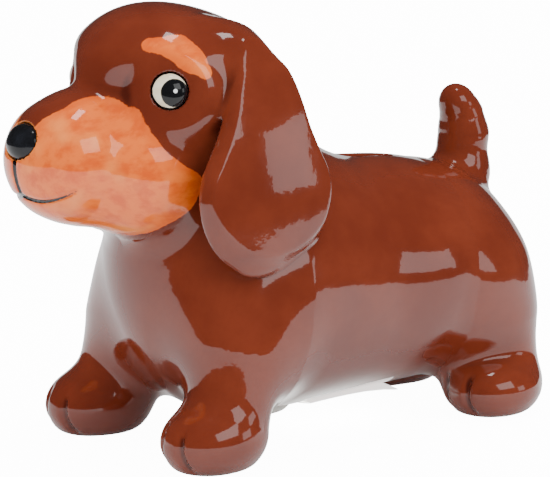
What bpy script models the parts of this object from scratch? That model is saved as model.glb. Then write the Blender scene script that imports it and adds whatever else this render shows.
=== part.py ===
"""Dachshund coin bank: glazed slip-cast members luted together, with a soft stopper in the belly.

The dog stands on Z = 0 with its nose towards -Y and its left side at +X. Lengths are in metres.
"""

import math
from collections import namedtuple

import bmesh
import bpy
from mathutils import Matrix, Vector

MM = 0.001

# The body
WALL = 4.0 * MM                  # thickness of the cast clay
LEG_WALL = 5.0 * MM              # slip drains slowly out of the narrow legs, so they cast thicker
SEAM_GAP = 0.3 * MM              # gap left at every luted seam
BELLY_CLEARANCE = 8.4 * MM       # under the deepest point of the chest
SHOULDER_RADIUS = 49.2 * MM
RUMP_RADIUS = 40.1 * MM
RUMP_DROP = 5.4 * MM             # how far the rump's middle lies below the shoulder's
BARREL_LENGTH = 81.0 * MM        # from the middle of the shoulders to the middle of the rump
SHOULDER_Y = -10.5 * MM
CHEST_WIDTH = 79.6 * MM
CHEST_FORWARD = 6.8 * MM         # the breast's middle, ahead of the shoulder's
NECK_RADIUS = 28.5 * MM
NAPE_RADIUS = 26.0 * MM

# The head
HEAD_FORWARD = 39.5 * MM         # the skull's middle, ahead of the shoulder's
HEAD_RISE = 71.8 * MM            # and above it
SKULL_WIDTH = 70.2 * MM
SKULL_LENGTH = 62.2 * MM
SKULL_HEIGHT = 63.0 * MM
OCCIPUT_RADIUS = 32.1 * MM
JOWL_WIDTH = 61.6 * MM           # across both cheeks
MUZZLE_LENGTH = 35.8 * MM        # from the skull's middle to the middle of the muzzle's tip
MUZZLE_ROOT_RADIUS = 24.1 * MM
MUZZLE_TIP_RADIUS = 22.1 * MM
NECK_SEAM_TILT = math.radians(15.5)
EYE_RADIUS = 8.0 * MM            # the ball that each eye is a cap of
EYE_PROUD = 2.8 * MM             # how far the cap stands out of the face
NOSE_WIDTH = 19.0 * MM
NOSE_HEIGHT = 15.4 * MM
NOSE_PROUD = 3.0 * MM
EAR_LENGTH = 80.0 * MM
EAR_WIDTH = 55.0 * MM
EAR_THICKNESS = 7.0 * MM
EAR_STAND_OFF = 11.5 * MM        # how far the lobe hangs outside the side of the skull
EAR_SETBACK = 6.5 * MM           # from the middle of the skull to the middle of the ear's root
RIGHT_EAR_SWING = 6.0 * MM       # how much further back its tip hangs, being luted by hand

# The legs and the tail
FRONT_STANCE = 70.0 * MM         # between the middles of the paws
REAR_STANCE = 62.0 * MM
FRONT_LEG_RADIUS = 15.5 * MM
REAR_LEG_RADIUS = 13.0 * MM
PAW_LENGTH = 38.0 * MM
PAW_WIDTH = 33.0 * MM
PAW_HEIGHT = 27.0 * MM
SOLE_SINK = 3.5 * MM             # how much of each paw the flat sole cuts away
TAIL_ROOT_RADIUS = 12.9 * MM
TAIL_TIP_RADIUS = 5.6 * MM
TAIL_LENGTH = 51.0 * MM

# The coin slot, the stopper and the label
SLOT_LENGTH = 44.0 * MM
SLOT_WIDTH = 5.0 * MM
SLOT_SETBACK = 46.5 * MM         # from the middle of the shoulders to the middle of the slot
STOPPER_FORWARD = 1.0 * MM       # ahead of the middle of the shoulders
STOPPER_HOLE = 30.8 * MM
STOPPER_CLEARANCE = 0.3 * MM     # around the plug and around the flange
STOPPER_LIP = 2.6 * MM           # how far the flange reaches past the hole
STOPPER_FLANGE_THICKNESS = 2.5 * MM
STOPPER_PLUG_LENGTH = 10.0 * MM
STOPPER_GRIP = 4.0 * MM          # thickness of the bar between the finger recesses
STOPPER_RECESS_DEPTH = 8.0 * MM
STOPPER_INSET = 1.5 * MM         # how far the flange sits inside the curve of the belly
LABEL_LENGTH = 41.0 * MM
LABEL_WIDTH = 26.0 * MM
LABEL_THICKNESS = 0.5 * MM
VENT_DIAMETER = 8.0 * MM         # slip drain from each leg into the body

# Places that follow from the sizes above
SHOULDER = Vector((0, SHOULDER_Y, BELLY_CLEARANCE + SHOULDER_RADIUS))
RUMP = SHOULDER + Vector((0, BARREL_LENGTH, -RUMP_DROP))
SKULL = SHOULDER + Vector((0, -HEAD_FORWARD, HEAD_RISE))
NECK_BASE = SHOULDER + Vector((0, -16.6 * MM, 15.2 * MM))
NECK_TOP = SKULL + Vector((0, 10.9 * MM, -23.2 * MM))
NAPE_BASE = SHOULDER + Vector((0, 12.0 * MM, 20.4 * MM))
NAPE_TOP = SKULL + Vector((0, 26.0 * MM, -18.4 * MM))
NECK_SEAM = NECK_TOP + Vector((0, 1.6 * MM, -17.7 * MM))
MUZZLE_TIP = SKULL + Vector((0, -MUZZLE_LENGTH, -19.9 * MM))
SLOT_Y = SHOULDER_Y + SLOT_SETBACK
STOPPER_Y = SHOULDER_Y - STOPPER_FORWARD
STOPPER_FLANGE = STOPPER_HOLE + 2 * STOPPER_LIP
LAND_Z = STOPPER_INSET + SHOULDER.z - math.sqrt(
    SHOULDER_RADIUS**2 - (STOPPER_FLANGE / 2 + 2 * STOPPER_CLEARANCE) ** 2)

Lump = namedtuple("Lump", "start start_radii end end_radii")


def ball(centre, radii):
    """An ellipsoid of clay."""
    return Lump(Vector(centre), Vector(radii), Vector(centre), Vector(radii))


def limb(start, start_radius, end, end_radius):
    """A tapered roll of clay with round ends."""
    return Lump(Vector(start), Vector((start_radius,) * 3), Vector(end), Vector((end_radius,) * 3))


def mirrored(lump):
    """The same lump on the other side of the dog."""
    flip = Vector((-1, 1, 1))
    return Lump(lump.start * flip, lump.start_radii, lump.end * flip, lump.end_radii)


def hollowed(lumps, wall=WALL):
    """The lumps' own shapes, one wall smaller all round."""
    inset = Vector((wall, wall, wall))
    return [Lump(a, ra - inset, b, rb - inset) for a, ra, b, rb in lumps]


def make_material(name, colour, roughness, coat=0.0):
    material = bpy.data.materials.new(name)
    material.use_nodes = True
    shader = material.node_tree.nodes["Principled BSDF"]
    shader.inputs["Base Color"].default_value = (*colour, 1.0)
    shader.inputs["Roughness"].default_value = roughness
    shader.inputs["Metallic"].default_value = 0.0
    shader.inputs["Coat Weight"].default_value = coat
    return material


def make_object(name, bm, material=None, closed=True):
    """Turn a bmesh into an object; one without a material is a cutter or a guide."""
    if closed:
        bmesh.ops.recalc_face_normals(bm, faces=bm.faces)
    mesh = bpy.data.meshes.new(name)
    bm.to_mesh(mesh)
    bm.free()
    part = bpy.data.objects.new(name, mesh)
    bpy.context.scene.collection.objects.link(part)
    if material:
        mesh.materials.append(material)
        mesh.shade_smooth()
        mesh.set_sharp_from_angle(angle=math.radians(40))
    else:
        part.hide_render = True
        part.display_type = "WIRE"
    return part


def add_lump(bm, lump):
    """Add the convex hull of a lump's two end ellipsoids."""
    hull = bmesh.new()
    for centre, radii in ((lump.start, lump.start_radii), (lump.end, lump.end_radii)):
        place = Matrix.Translation(centre) @ Matrix.Diagonal(radii).to_4x4()
        bmesh.ops.create_icosphere(hull, subdivisions=4, radius=1.0, matrix=place)
        if lump.start == lump.end:
            break
    result = bmesh.ops.convex_hull(hull, input=hull.verts)
    loose = [v for v in result["geom_interior"] if isinstance(v, bmesh.types.BMVert)]
    bmesh.ops.delete(hull, geom=loose, context="VERTS")
    mesh = bpy.data.meshes.new("hull")
    hull.to_mesh(mesh)
    hull.free()
    bm.from_mesh(mesh)
    bpy.data.meshes.remove(mesh)


def fuse(name, lumps, material=None, voxel=2.5 * MM, rounds=10, keep=0.15):
    """Join lumps into one skin, smooth their joins, and thin out the mesh."""
    bm = bmesh.new()
    for lump in lumps:
        add_lump(bm, lump)
    part = make_object(name, bm, material)
    remesh = part.modifiers.new("Join", "REMESH")
    remesh.mode = "VOXEL"
    remesh.voxel_size = voxel
    remesh.use_smooth_shade = True
    smooth = part.modifiers.new("Fillet", "SMOOTH")
    smooth.factor = 0.5
    smooth.iterations = rounds
    thin = part.modifiers.new("Thin", "DECIMATE")
    thin.ratio = keep
    return part


def grow(part):
    """A guide with the same skin as part, one seam gap larger, for cutting what is luted to it."""
    guide = bpy.data.objects.new(part.name + "_guide", part.data)
    bpy.context.scene.collection.objects.link(guide)
    guide.hide_render = True
    guide.display_type = "WIRE"
    for source in part.modifiers:
        copy = guide.modifiers.new(source.name, source.type)
        for setting in ("mode", "voxel_size", "factor", "iterations", "ratio"):
            if hasattr(source, setting):
                setattr(copy, setting, getattr(source, setting))
    swell = guide.modifiers.new("Gap", "DISPLACE")
    swell.strength = SEAM_GAP
    swell.mid_level = 0.0
    return guide


def cut(part, *cutters):
    for cutter in cutters:
        boolean = part.modifiers.new("Cut " + cutter.name, "BOOLEAN")
        boolean.operation = "DIFFERENCE"
        boolean.solver = "EXACT"
        boolean.object = cutter


def add_box(bm, centre, size, turn=Matrix.Identity(4)):
    place = Matrix.Translation(centre) @ turn @ Matrix.Diagonal(Vector(size)).to_4x4()
    bmesh.ops.create_cube(bm, size=1.0, matrix=place)


def add_cylinder(bm, start, end, radius, sides=32):
    run = Vector(end) - Vector(start)
    turn = run.to_track_quat("Z", "Y").to_matrix().to_4x4()
    place = Matrix.Translation((Vector(start) + Vector(end)) / 2) @ turn
    bmesh.ops.create_cone(bm, cap_ends=True, segments=sides, radius1=radius, radius2=radius,
                          depth=run.length, matrix=place)


def turned(name, profile, centre, material=None, sides=48):
    """Turn a closed profile of (radius, height) points about a vertical axis through centre."""
    bm = bmesh.new()
    ring = [bm.verts.new((radius, 0, height)) for radius, height in profile]
    edges = [bm.edges.new(pair) for pair in zip(ring, ring[1:])]
    bmesh.ops.spin(bm, geom=ring + edges, cent=(0, 0, 0), axis=(0, 0, 1),
                   angle=math.tau, steps=sides, use_merge=True)
    bmesh.ops.remove_doubles(bm, verts=bm.verts, dist=0.01 * MM)
    part = make_object(name, bm, material)
    part.location = centre
    return part


# The lumps of each member

def neck_lumps():
    """The neck belongs to the torso below its luted seam, and to the head above it."""
    return [limb(NECK_BASE, NECK_RADIUS, NECK_TOP, NECK_RADIUS),
            limb(NAPE_BASE, NAPE_RADIUS, NAPE_TOP, NAPE_RADIUS)]


def torso_lumps():
    breast = SHOULDER + Vector((0, -CHEST_FORWARD, 4.0 * MM))
    croup = RUMP + Vector((0, -16.8 * MM, 4.2 * MM))
    return [
        limb(SHOULDER, SHOULDER_RADIUS, RUMP, RUMP_RADIUS),
        ball(breast, (CHEST_WIDTH / 2, 38.4 * MM, 35.1 * MM)),
        ball(croup, (RUMP_RADIUS, 37.5 * MM, 35.0 * MM)),
        *neck_lumps(),
    ]


def head_lumps():
    occiput = SKULL + Vector((0, 19.6 * MM, -7.1 * MM))
    jowl_radius = 19.5 * MM
    jowl = SKULL + Vector((JOWL_WIDTH / 2 - jowl_radius, -10.3 * MM, -25.1 * MM))
    cheek = ball(jowl, (jowl_radius, 20.0 * MM, 21.2 * MM))
    muzzle_root = SKULL + Vector((0, -20.2 * MM, -22.3 * MM))
    bridge = SKULL + Vector((0, -17.0 * MM, -14.4 * MM))
    return [
        ball(SKULL, (SKULL_WIDTH / 2, SKULL_LENGTH / 2, SKULL_HEIGHT / 2)),
        ball(occiput, (SKULL_WIDTH / 2, OCCIPUT_RADIUS, OCCIPUT_RADIUS)),
        cheek,
        mirrored(cheek),
        limb(muzzle_root, MUZZLE_ROOT_RADIUS, MUZZLE_TIP, MUZZLE_TIP_RADIUS),
        limb(bridge, MUZZLE_ROOT_RADIUS - 3.1 * MM, MUZZLE_TIP + Vector((0, -1.2 * MM, 2.5 * MM)),
             MUZZLE_TIP_RADIUS - 2.9 * MM),
        *neck_lumps(),
    ]


def front_leg_lumps():
    x = FRONT_STANCE / 2
    y = SHOULDER.y
    paw_z = PAW_HEIGHT / 2 - SOLE_SINK
    return [
        ball((x - 8.5 * MM, y - 19.5 * MM, SHOULDER.z - 9.3 * MM), (18 * MM, 22.5 * MM, 26 * MM)),
        limb((x - 3.5 * MM, y - 26 * MM, SHOULDER.z - 19.6 * MM), FRONT_LEG_RADIUS + 1.5 * MM,
             (x - 1.5 * MM, y - 33 * MM, FRONT_LEG_RADIUS), FRONT_LEG_RADIUS),
        ball((x + 0.5 * MM, y - 40.0 * MM, paw_z), (PAW_WIDTH / 2, PAW_LENGTH / 2, PAW_HEIGHT / 2)),
    ]


def rear_leg_lumps():
    x = REAR_STANCE / 2
    y = RUMP.y
    paw_z = PAW_HEIGHT / 2 - SOLE_SINK
    return [
        ball((x - 9.0 * MM, y + 10.8 * MM, RUMP.z - 7.1 * MM), (18 * MM, 22.3 * MM, 25 * MM)),
        limb((x - 5.5 * MM, y + 19.5 * MM, RUMP.z - 18 * MM), REAR_LEG_RADIUS + 0.8 * MM,
             (x - 4.5 * MM, y + 22.9 * MM, REAR_LEG_RADIUS), REAR_LEG_RADIUS),
        ball((x + 0.5 * MM, y + 12.5 * MM, paw_z), (PAW_WIDTH / 2, PAW_LENGTH / 2, PAW_HEIGHT / 2)),
    ]


def tail_lumps():
    """The tail leans back from the croup, then curls forward at its tip."""
    root = RUMP + Vector((0, 14.2 * MM, RUMP_RADIUS - 26.3 * MM))
    stations = ((0.0, 0.0, 0.0), (0.42, 8.0 * MM, 0.31), (0.75, 8.7 * MM, 0.53), (1.0, 3.9 * MM, 1.0))
    points = []
    for rise, lean, taper in stations:
        radius = TAIL_ROOT_RADIUS + (TAIL_TIP_RADIUS - TAIL_ROOT_RADIUS) * taper
        points.append((root + Vector((0, lean, rise * (TAIL_LENGTH - TAIL_TIP_RADIUS / 2))), radius))
    return [limb(*low, *high) for low, high in zip(points, points[1:])]


# The members

def make_neck_blocks():
    """Two blocks that meet at the neck's luted seam: one above it, one below it."""
    turn = Matrix.Rotation(NECK_SEAM_TILT, 4, "X")
    size = 2 * (HEAD_RISE + SKULL_HEIGHT)
    blocks = []
    for name, side in (("above_neck_seam", 1), ("below_neck_seam", -1)):
        bm = bmesh.new()
        offset = turn @ Vector((0, 0, side * (size - SEAM_GAP) / 2))
        add_box(bm, NECK_SEAM + offset, (size, size, size), turn)
        blocks.append(make_object(name, bm))
    return blocks


def make_floor_block():
    bm = bmesh.new()
    size = 2 * (BARREL_LENGTH + HEAD_RISE)
    add_box(bm, (0, 0, -size / 2), (size, size, size))
    return make_object("floor_block", bm)


def make_slot_cutter():
    """A slot with round ends, down through the spine."""
    bm = bmesh.new()
    straight = SLOT_LENGTH - SLOT_WIDTH
    floor_z = RUMP.z
    roof_z = SHOULDER.z + 2 * SHOULDER_RADIUS
    middle = (floor_z + roof_z) / 2
    add_box(bm, (0, SLOT_Y, middle), (SLOT_WIDTH, straight, roof_z - floor_z))
    upright = [e for e in bm.edges if abs(e.verts[0].co.z - e.verts[1].co.z) > SLOT_WIDTH]
    for vert in bm.verts:
        vert.co.y += math.copysign(SLOT_WIDTH / 2, vert.co.y - SLOT_Y)
    bmesh.ops.bevel(bm, geom=upright, offset=SLOT_WIDTH / 2 - 0.02 * MM, segments=5, profile=0.5,
                    affect="EDGES")
    return make_object("slot_cutter", bm)


def make_stopper_cutter():
    """The stopper's hole, with the counterbore that its flange sits in."""
    pocket = STOPPER_FLANGE / 2 + 2 * STOPPER_CLEARANCE
    hole = STOPPER_HOLE / 2
    top = LAND_Z + 3 * WALL
    profile = ((0, 0), (pocket, 0), (pocket, LAND_Z), (hole, LAND_Z), (hole, top), (0, top))
    return turned("stopper_cutter", profile, (0, STOPPER_Y, 0))


def make_boss():
    """The thick ring of clay that stays around the stopper's hole."""
    radius = STOPPER_HOLE / 2 + 2 * WALL
    top = LAND_Z + WALL
    return turned("stopper_boss", ((0, 0), (radius, 0), (radius, top), (0, top)), (0, STOPPER_Y, 0))


def make_vents():
    """Four drain holes, from the body's hollow into the hollow of each leg."""
    bm = bmesh.new()
    for lumps, middle in ((front_leg_lumps(), SHOULDER), (rear_leg_lumps(), RUMP)):
        leg = lumps[1].start
        for side in (1, -1):
            start = Vector((side * leg.x * 0.3, leg.y, middle.z * 0.7 + leg.z * 0.3))
            end = Vector((side * leg.x, leg.y, leg.z))
            add_cylinder(bm, start, end, VENT_DIAMETER / 2, sides=12)
    return make_object("vents", bm)


def make_ear(name, side, material, head_guide, torso_guide):
    """A slab hung from the side of the skull, lofted through sections down its length."""
    top = SKULL + Vector((SKULL_WIDTH / 2, 0, 20.0 * MM))
    # share of the length, front edge and rear edge as shares of the width, share of the stand-off
    sections = ((0.0, -0.02, 0.34, -0.55), (0.06, 0.0, 0.46, -0.28), (0.18, -0.06, 0.56, 0.12),
                (0.34, -0.18, 0.61, 0.55), (0.50, -0.31, 0.67, 0.85), (0.64, -0.40, 0.71, 1.0),
                (0.78, -0.38, 0.70, 1.0), (0.89, -0.27, 0.60, 1.0), (0.97, -0.10, 0.40, 1.0),
                (1.0, 0.02, 0.26, 1.0))
    swing = RIGHT_EAR_SWING if side < 0 else 0.0
    corners = 10
    bm = bmesh.new()
    rings = []
    for along, front, rear, out in sections:
        middle = top.y + EAR_SETBACK + (front + rear) / 2 * EAR_WIDTH + along * swing
        centre = Vector((top.x + out * EAR_STAND_OFF, middle, top.z - along * EAR_LENGTH))
        half_width = (rear - front) / 2 * EAR_WIDTH
        half_thick = EAR_THICKNESS / 2 * min(1.0, 0.45 + 4 * (1.0 - along))
        ring = []
        for step in range(corners):
            angle = math.tau * step / corners
            x = half_thick * math.copysign(abs(math.cos(angle)) ** 0.6, math.cos(angle))
            y = half_width * math.copysign(abs(math.sin(angle)) ** 0.8, math.sin(angle))
            ring.append(bm.verts.new(centre + Vector((x, y, 0))))
        rings.append(ring)
    for upper, lower in zip(rings, rings[1:]):
        for step in range(corners):
            following = (step + 1) % corners
            bm.faces.new((upper[step], upper[following], lower[following], lower[step]))
    bm.faces.new(rings[0])
    bm.faces.new(reversed(rings[-1]))
    for vert in bm.verts:
        vert.co.x *= side
    ear = make_object(name, bm, material)
    rounding = ear.modifiers.new("Round", "SUBSURF")
    rounding.levels = 1
    rounding.render_levels = 1
    cut(ear, head_guide, torso_guide)
    return ear


def make_eye(name, side, material, head_guide):
    """A cap of a ball, set where a line out of the skull's middle meets the face."""
    radii = Vector((SKULL_WIDTH / 2, SKULL_LENGTH / 2, SKULL_HEIGHT / 2))
    aim = Vector((side * 0.87, -0.45, 0.17)).normalized()
    surface = SKULL + aim * radii
    outward = Vector([a / r for a, r in zip(aim, radii)]).normalized()
    eye = fuse(name, [ball(surface + outward * (EYE_PROUD - EYE_RADIUS), (EYE_RADIUS,) * 3)],
               material, voxel=0.9 * MM, rounds=2, keep=0.15)
    cut(eye, head_guide)
    return eye


def make_nose(material, head_guide):
    tilt = math.radians(22.6)
    outward = Vector((0, -math.cos(tilt), math.sin(tilt)))
    depth = NOSE_HEIGHT / 2
    centre = MUZZLE_TIP + outward * (MUZZLE_TIP_RADIUS + NOSE_PROUD - depth)
    nose = fuse("nose", [ball(centre, (NOSE_WIDTH / 2, depth, NOSE_HEIGHT / 2))], material,
                voxel=1.0 * MM, rounds=2, keep=0.15)
    cut(nose, head_guide)
    return nose


def make_stopper(material):
    """A turned plug with a flange, gripped by a bar between two half-moon recesses."""
    flange = STOPPER_FLANGE / 2
    plug = STOPPER_HOLE / 2 - STOPPER_CLEARANCE
    lead = 1.5 * MM
    top = STOPPER_PLUG_LENGTH
    edge = STOPPER_FLANGE_THICKNESS / 2
    profile = ((0, -2 * edge), (flange - edge, -2 * edge), (flange, -edge), (flange, 0), (plug, 0),
               (plug, top - lead), (plug - lead, top), (0, top))
    rest = Vector((0, STOPPER_Y, LAND_Z - SEAM_GAP))
    stopper = turned("stopper", profile, rest, material)
    moons = turned("stopper_recess", ((0, -4 * edge), (plug - WALL, -4 * edge),
                   (plug - WALL, STOPPER_RECESS_DEPTH - 2 * edge), (0, STOPPER_RECESS_DEPTH - 2 * edge)),
                   rest)
    bm = bmesh.new()
    add_box(bm, (0, 0, 0), (STOPPER_FLANGE, STOPPER_GRIP, 4 * STOPPER_PLUG_LENGTH))
    bar = make_object("stopper_grip_bar", bm)
    bar.location = rest
    cut(moons, bar)
    cut(stopper, moons)
    return stopper


def make_label(material, torso_guide):
    """A blank paper label stuck along the belly, with one rear corner come unstuck."""
    start = STOPPER_Y + STOPPER_FLANGE / 2 + 2.5 * MM
    columns = 6
    rows = 8
    bm = bmesh.new()
    lifted = bm.verts.layers.deform.verify()
    grid = []
    for row in range(rows + 1):
        for column in range(columns + 1):
            along = row / rows
            across = column / columns
            point = ((across - 0.5) * LABEL_WIDTH, start + along * LABEL_LENGTH, BELLY_CLEARANCE / 2)
            vert = bm.verts.new(point)
            peel = max(0.0, (along - 0.7) / 0.3) * max(0.0, (across - 0.4) / 0.6)
            vert[lifted][0] = 1.0 - 0.35 * peel**2
            grid.append(vert)
    for row in range(rows):
        for column in range(columns):
            corner = row * (columns + 1) + column
            bm.faces.new((grid[corner], grid[corner + columns + 1], grid[corner + columns + 2],
                          grid[corner + 1]))
    label = make_object("belly_label", bm, material, closed=False)
    label.vertex_groups.new(name="stuck down")
    wrap = label.modifiers.new("Stick", "SHRINKWRAP")
    wrap.wrap_method = "PROJECT"
    wrap.use_project_z = True
    wrap.use_positive_direction = True
    wrap.target = torso_guide
    wrap.vertex_group = "stuck down"
    thick = label.modifiers.new("Paper", "SOLIDIFY")
    thick.thickness = LABEL_THICKNESS
    thick.offset = 1.0
    return label


def main():
    for thing in list(bpy.data.objects):
        bpy.data.objects.remove(thing)
    glaze = make_material("chestnut_glaze", (0.19, 0.035, 0.013), 0.12, coat=1.0)
    ear_glaze = make_material("chestnut_glaze_ears", (0.17, 0.030, 0.011), 0.12, coat=1.0)
    black = make_material("black_glaze", (0.006, 0.006, 0.007), 0.08, coat=1.0)
    paper = make_material("label_paper", (0.80, 0.80, 0.78), 0.65)
    vinyl = make_material("stopper_vinyl", (0.70, 0.69, 0.65), 0.45)

    above, below = make_neck_blocks()
    floor = make_floor_block()

    torso = fuse("torso_shell", torso_lumps(), glaze, keep=0.09)
    torso_guide = grow(torso)
    torso_hollow = fuse("torso_hollow", hollowed(torso_lumps()), voxel=3 * MM, keep=0.08)
    cut(torso_hollow, make_boss())
    cut(torso, torso_hollow, above, make_slot_cutter(), make_stopper_cutter(), make_vents())

    head = fuse("head_shell", head_lumps(), glaze, keep=0.10)
    head_guide = grow(head)
    head_hollow = fuse("head_hollow", hollowed(head_lumps()), voxel=3 * MM, keep=0.08)
    cut(head, head_hollow, below)

    legs = (("front_left_leg", front_leg_lumps(), False), ("front_right_leg", front_leg_lumps(), True),
            ("rear_left_leg", rear_leg_lumps(), False), ("rear_right_leg", rear_leg_lumps(), True))
    for name, lumps, right in legs:
        if right:
            lumps = [mirrored(lump) for lump in lumps]
        leg = fuse(name, lumps, glaze, voxel=1.8 * MM, rounds=8, keep=0.065)
        hollow = fuse(name + "_hollow", hollowed(lumps, LEG_WALL), voxel=2.2 * MM, rounds=4, keep=0.06)
        cut(leg, hollow, torso_guide, floor)

    tail = fuse("tail", tail_lumps(), glaze, voxel=1.2 * MM, rounds=8, keep=0.08)
    cut(tail, torso_guide)

    for name, side in (("left", 1), ("right", -1)):
        make_ear(name + "_ear", side, ear_glaze, head_guide, torso_guide)
        make_eye(name + "_eye", side, black, head_guide)
    make_nose(black, head_guide)
    make_label(paper, torso_guide)
    make_stopper(vinyl)


main()
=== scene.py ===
# %% [markdown]
# # A glazed dachshund coin bank
#
# The real object is slip-cast earthenware. Its body, head, ears, legs and tail come out of
# separate plaster moulds, are luted together with wet clay, painted and dipped in clear glaze.
# This lesson builds the same members round a fixed frame of measured solids: each member's
# fine surface takes the place of a plain solid, and never changes its size.

# %% Load the measured solids
import functools
import math
from collections import namedtuple

import bmesh
import bpy
import numpy as np
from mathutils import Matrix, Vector


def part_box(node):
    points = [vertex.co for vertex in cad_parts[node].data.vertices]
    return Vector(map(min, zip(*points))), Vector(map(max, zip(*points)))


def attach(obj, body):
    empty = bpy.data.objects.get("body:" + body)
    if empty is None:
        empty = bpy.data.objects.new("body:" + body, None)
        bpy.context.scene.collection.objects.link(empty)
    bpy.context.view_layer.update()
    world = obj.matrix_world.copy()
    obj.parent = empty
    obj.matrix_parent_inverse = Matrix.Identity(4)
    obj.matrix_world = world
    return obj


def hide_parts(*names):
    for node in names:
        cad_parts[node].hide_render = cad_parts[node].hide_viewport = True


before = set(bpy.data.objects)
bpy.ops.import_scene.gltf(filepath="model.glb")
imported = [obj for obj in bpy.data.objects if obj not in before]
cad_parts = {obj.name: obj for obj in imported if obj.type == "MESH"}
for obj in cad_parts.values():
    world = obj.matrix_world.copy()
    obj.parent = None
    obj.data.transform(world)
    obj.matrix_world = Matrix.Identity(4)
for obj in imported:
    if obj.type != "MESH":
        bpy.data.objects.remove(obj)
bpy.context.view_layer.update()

MM = 0.001
print("solids in the frame:", len(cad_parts))

# %% [markdown]
# ## Camera
#
# A long lens from well back flattens the dog a little. The camera looks down gently on the
# dog's left side, at a point over the middle of the ground under it.

# %% Camera
AZIMUTH = math.radians(52.3)
ELEVATION = math.radians(10.9)
DISTANCE = 1.215
aim = Vector((0.0, 0.0045, 0.0707))
toward = Vector((math.sin(AZIMUTH) * math.cos(ELEVATION), -math.cos(AZIMUTH) * math.cos(ELEVATION),
                 math.sin(ELEVATION)))
camera = bpy.data.objects.new("camera", bpy.data.cameras.new("camera"))
bpy.context.scene.collection.objects.link(camera)
camera.location = aim + DISTANCE * toward
camera.rotation_euler = toward.to_track_quat("Z", "Y").to_euler()
camera.data.lens = 219.3
camera.data.sensor_width = 36.0
bpy.context.scene.camera = camera
print("camera stands", round(DISTANCE, 3), "m away")

# %% [markdown]
# ## Clay as numbers
#
# Modelling clay is added in lumps and the joins are smoothed with a thumb. Numbers can do the
# same. Each lump is a function that is negative inside the clay, zero on its skin and positive
# in the air, in millimetres. A smooth minimum of two such functions is both lumps with a fillet
# where they meet, and a smooth maximum cuts one out of the other with a rounded edge.
# A body with four legs, a head and ears can't be one grid of two parameters without seams that
# show in a glossy glaze. So the skin is found where the joined function is zero, and pieces
# that are simple turned or swept forms come from two-parameter grids further down.

# %% Lumps, joins and cuts
def ball(p, centre, radii):
    """Ellipsoid: scaled radius times (scaled radius - 1), over its own slope."""
    dx, dy, dz = (a - b for a, b in zip(p, centre))
    rx, ry, rz = radii
    k = np.sqrt((dx / rx) ** 2 + (dy / ry) ** 2 + (dz / rz) ** 2)
    slope = np.sqrt((dx / rx**2) ** 2 + (dy / ry**2) ** 2 + (dz / rz**2) ** 2)
    return k * (k - 1) / np.maximum(slope, 1e-6)


def roll(p, start, end, start_radius, end_radius):
    """Tapered roll with round ends: distance to the nearest of the spheres strung from start to end."""
    axis = np.subtract(end, start)
    length = math.sqrt(float(axis @ axis))
    axis = axis / length
    d = [a - b for a, b in zip(p, start)]
    along = d[0] * axis[0] + d[1] * axis[1] + d[2] * axis[2]
    off = np.sqrt(np.maximum(d[0] ** 2 + d[1] ** 2 + d[2] ** 2 - along**2, 0))
    sine = (start_radius - end_radius) / length
    cosine = math.sqrt(1 - sine * sine)
    t = np.clip(along + off * sine / cosine, 0, length)
    return np.sqrt((along - t) ** 2 + off**2) - (start_radius - sine * t)


def join(a, b, fillet):
    """Smooth minimum: the smaller value, less a bump as wide as the fillet where they are alike."""
    h = np.maximum(fillet - np.abs(a - b), 0) / fillet
    return np.minimum(a, b) - h * h * fillet * 0.25


def cut(a, b, edge):
    """Smooth maximum of a and -b: a with b taken out and the edge rounded."""
    return -join(-a, b, edge)


def smooth_curve(x, xs, ys):
    """Hermite curve through the points, with each tangent the slope between its neighbours."""
    xs = np.asarray(xs, float)
    ys = np.asarray(ys, float)
    slopes = np.gradient(ys, xs)
    x = np.clip(x, xs[0], xs[-1])
    i = np.clip(np.searchsorted(xs, x) - 1, 0, len(xs) - 2)
    h = xs[i + 1] - xs[i]
    t = (x - xs[i]) / h
    return ((1 + 2 * t) * (1 - t) ** 2 * ys[i] + t * (1 - t) ** 2 * h * slopes[i]
            + t * t * (3 - 2 * t) * ys[i + 1] + t * t * (t - 1) * h * slopes[i + 1])


def step(x, low, high):
    """Smoothstep from 0 at low to 1 at high."""
    t = np.clip((x - low) / (high - low), 0, 1)
    return t * t * (3 - 2 * t)


print("a ball of radius 5 is", ball((0.0, 0.0, 8.0), (0, 0, 0), (5, 5, 5)), "mm from a point 8 mm off")

# %% [markdown]
# ## Places taken from the frame
#
# The stopper's solid says where its hole is and how deep its land lies, and the head's solid
# says how high the skull stands. The other places are set from these. Lengths in the shape
# functions are millimetres, and MM turns them into metres as each mesh is made.

# %% Places
def box_mm(node):
    low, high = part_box(node)
    return np.array(low) / MM, np.array(high) / MM


stopper_low, stopper_high = box_mm("stopper")
crown_z = box_mm("head_shell")[1][2]

WALL = 4.0
SEAM = 0.3
FLANGE = 2.5
stopper_y = (stopper_low[1] + stopper_high[1]) / 2
land = stopper_low[2] + FLANGE + SEAM
shoulder_y = stopper_y + 1.0
shoulder_z = 57.6
skull_y = shoulder_y - 39.5
skull_z = crown_z - 31.1
print("stopper land at", round(land, 2), "mm, skull's middle at", round(skull_z, 1), "mm")

# %% [markdown]
# ## The members, one function each
#
# Left and right are the same, so x is measured from the middle plane without its sign.

# %% Torso and neck
def torso(p):
    """A barrel from shoulders to rump, with breast, croup, neck and nape smoothed on."""
    barrel = roll(p, (0, shoulder_y, shoulder_z), (0, shoulder_y + 81, 52.2), 49.2, 40.1)
    breast = ball(p, (0, shoulder_y - 6.8, 61.6), (39.8, 38.4, 35.1))
    croup = ball(p, (0, shoulder_y + 64.2, 56.4), (39.6, 37.5, 35.0))
    neck = roll(p, (0, shoulder_y - 16.6, 72.8), (0, skull_y + 10.9, 106.2), 28.5, 28.6)
    nape = roll(p, (0, shoulder_y + 12, 78), (0, skull_y + 26, 111), 26, 26)
    return join(join(join(barrel, breast, 14), croup, 14), join(neck, nape, 10), 16)


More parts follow.
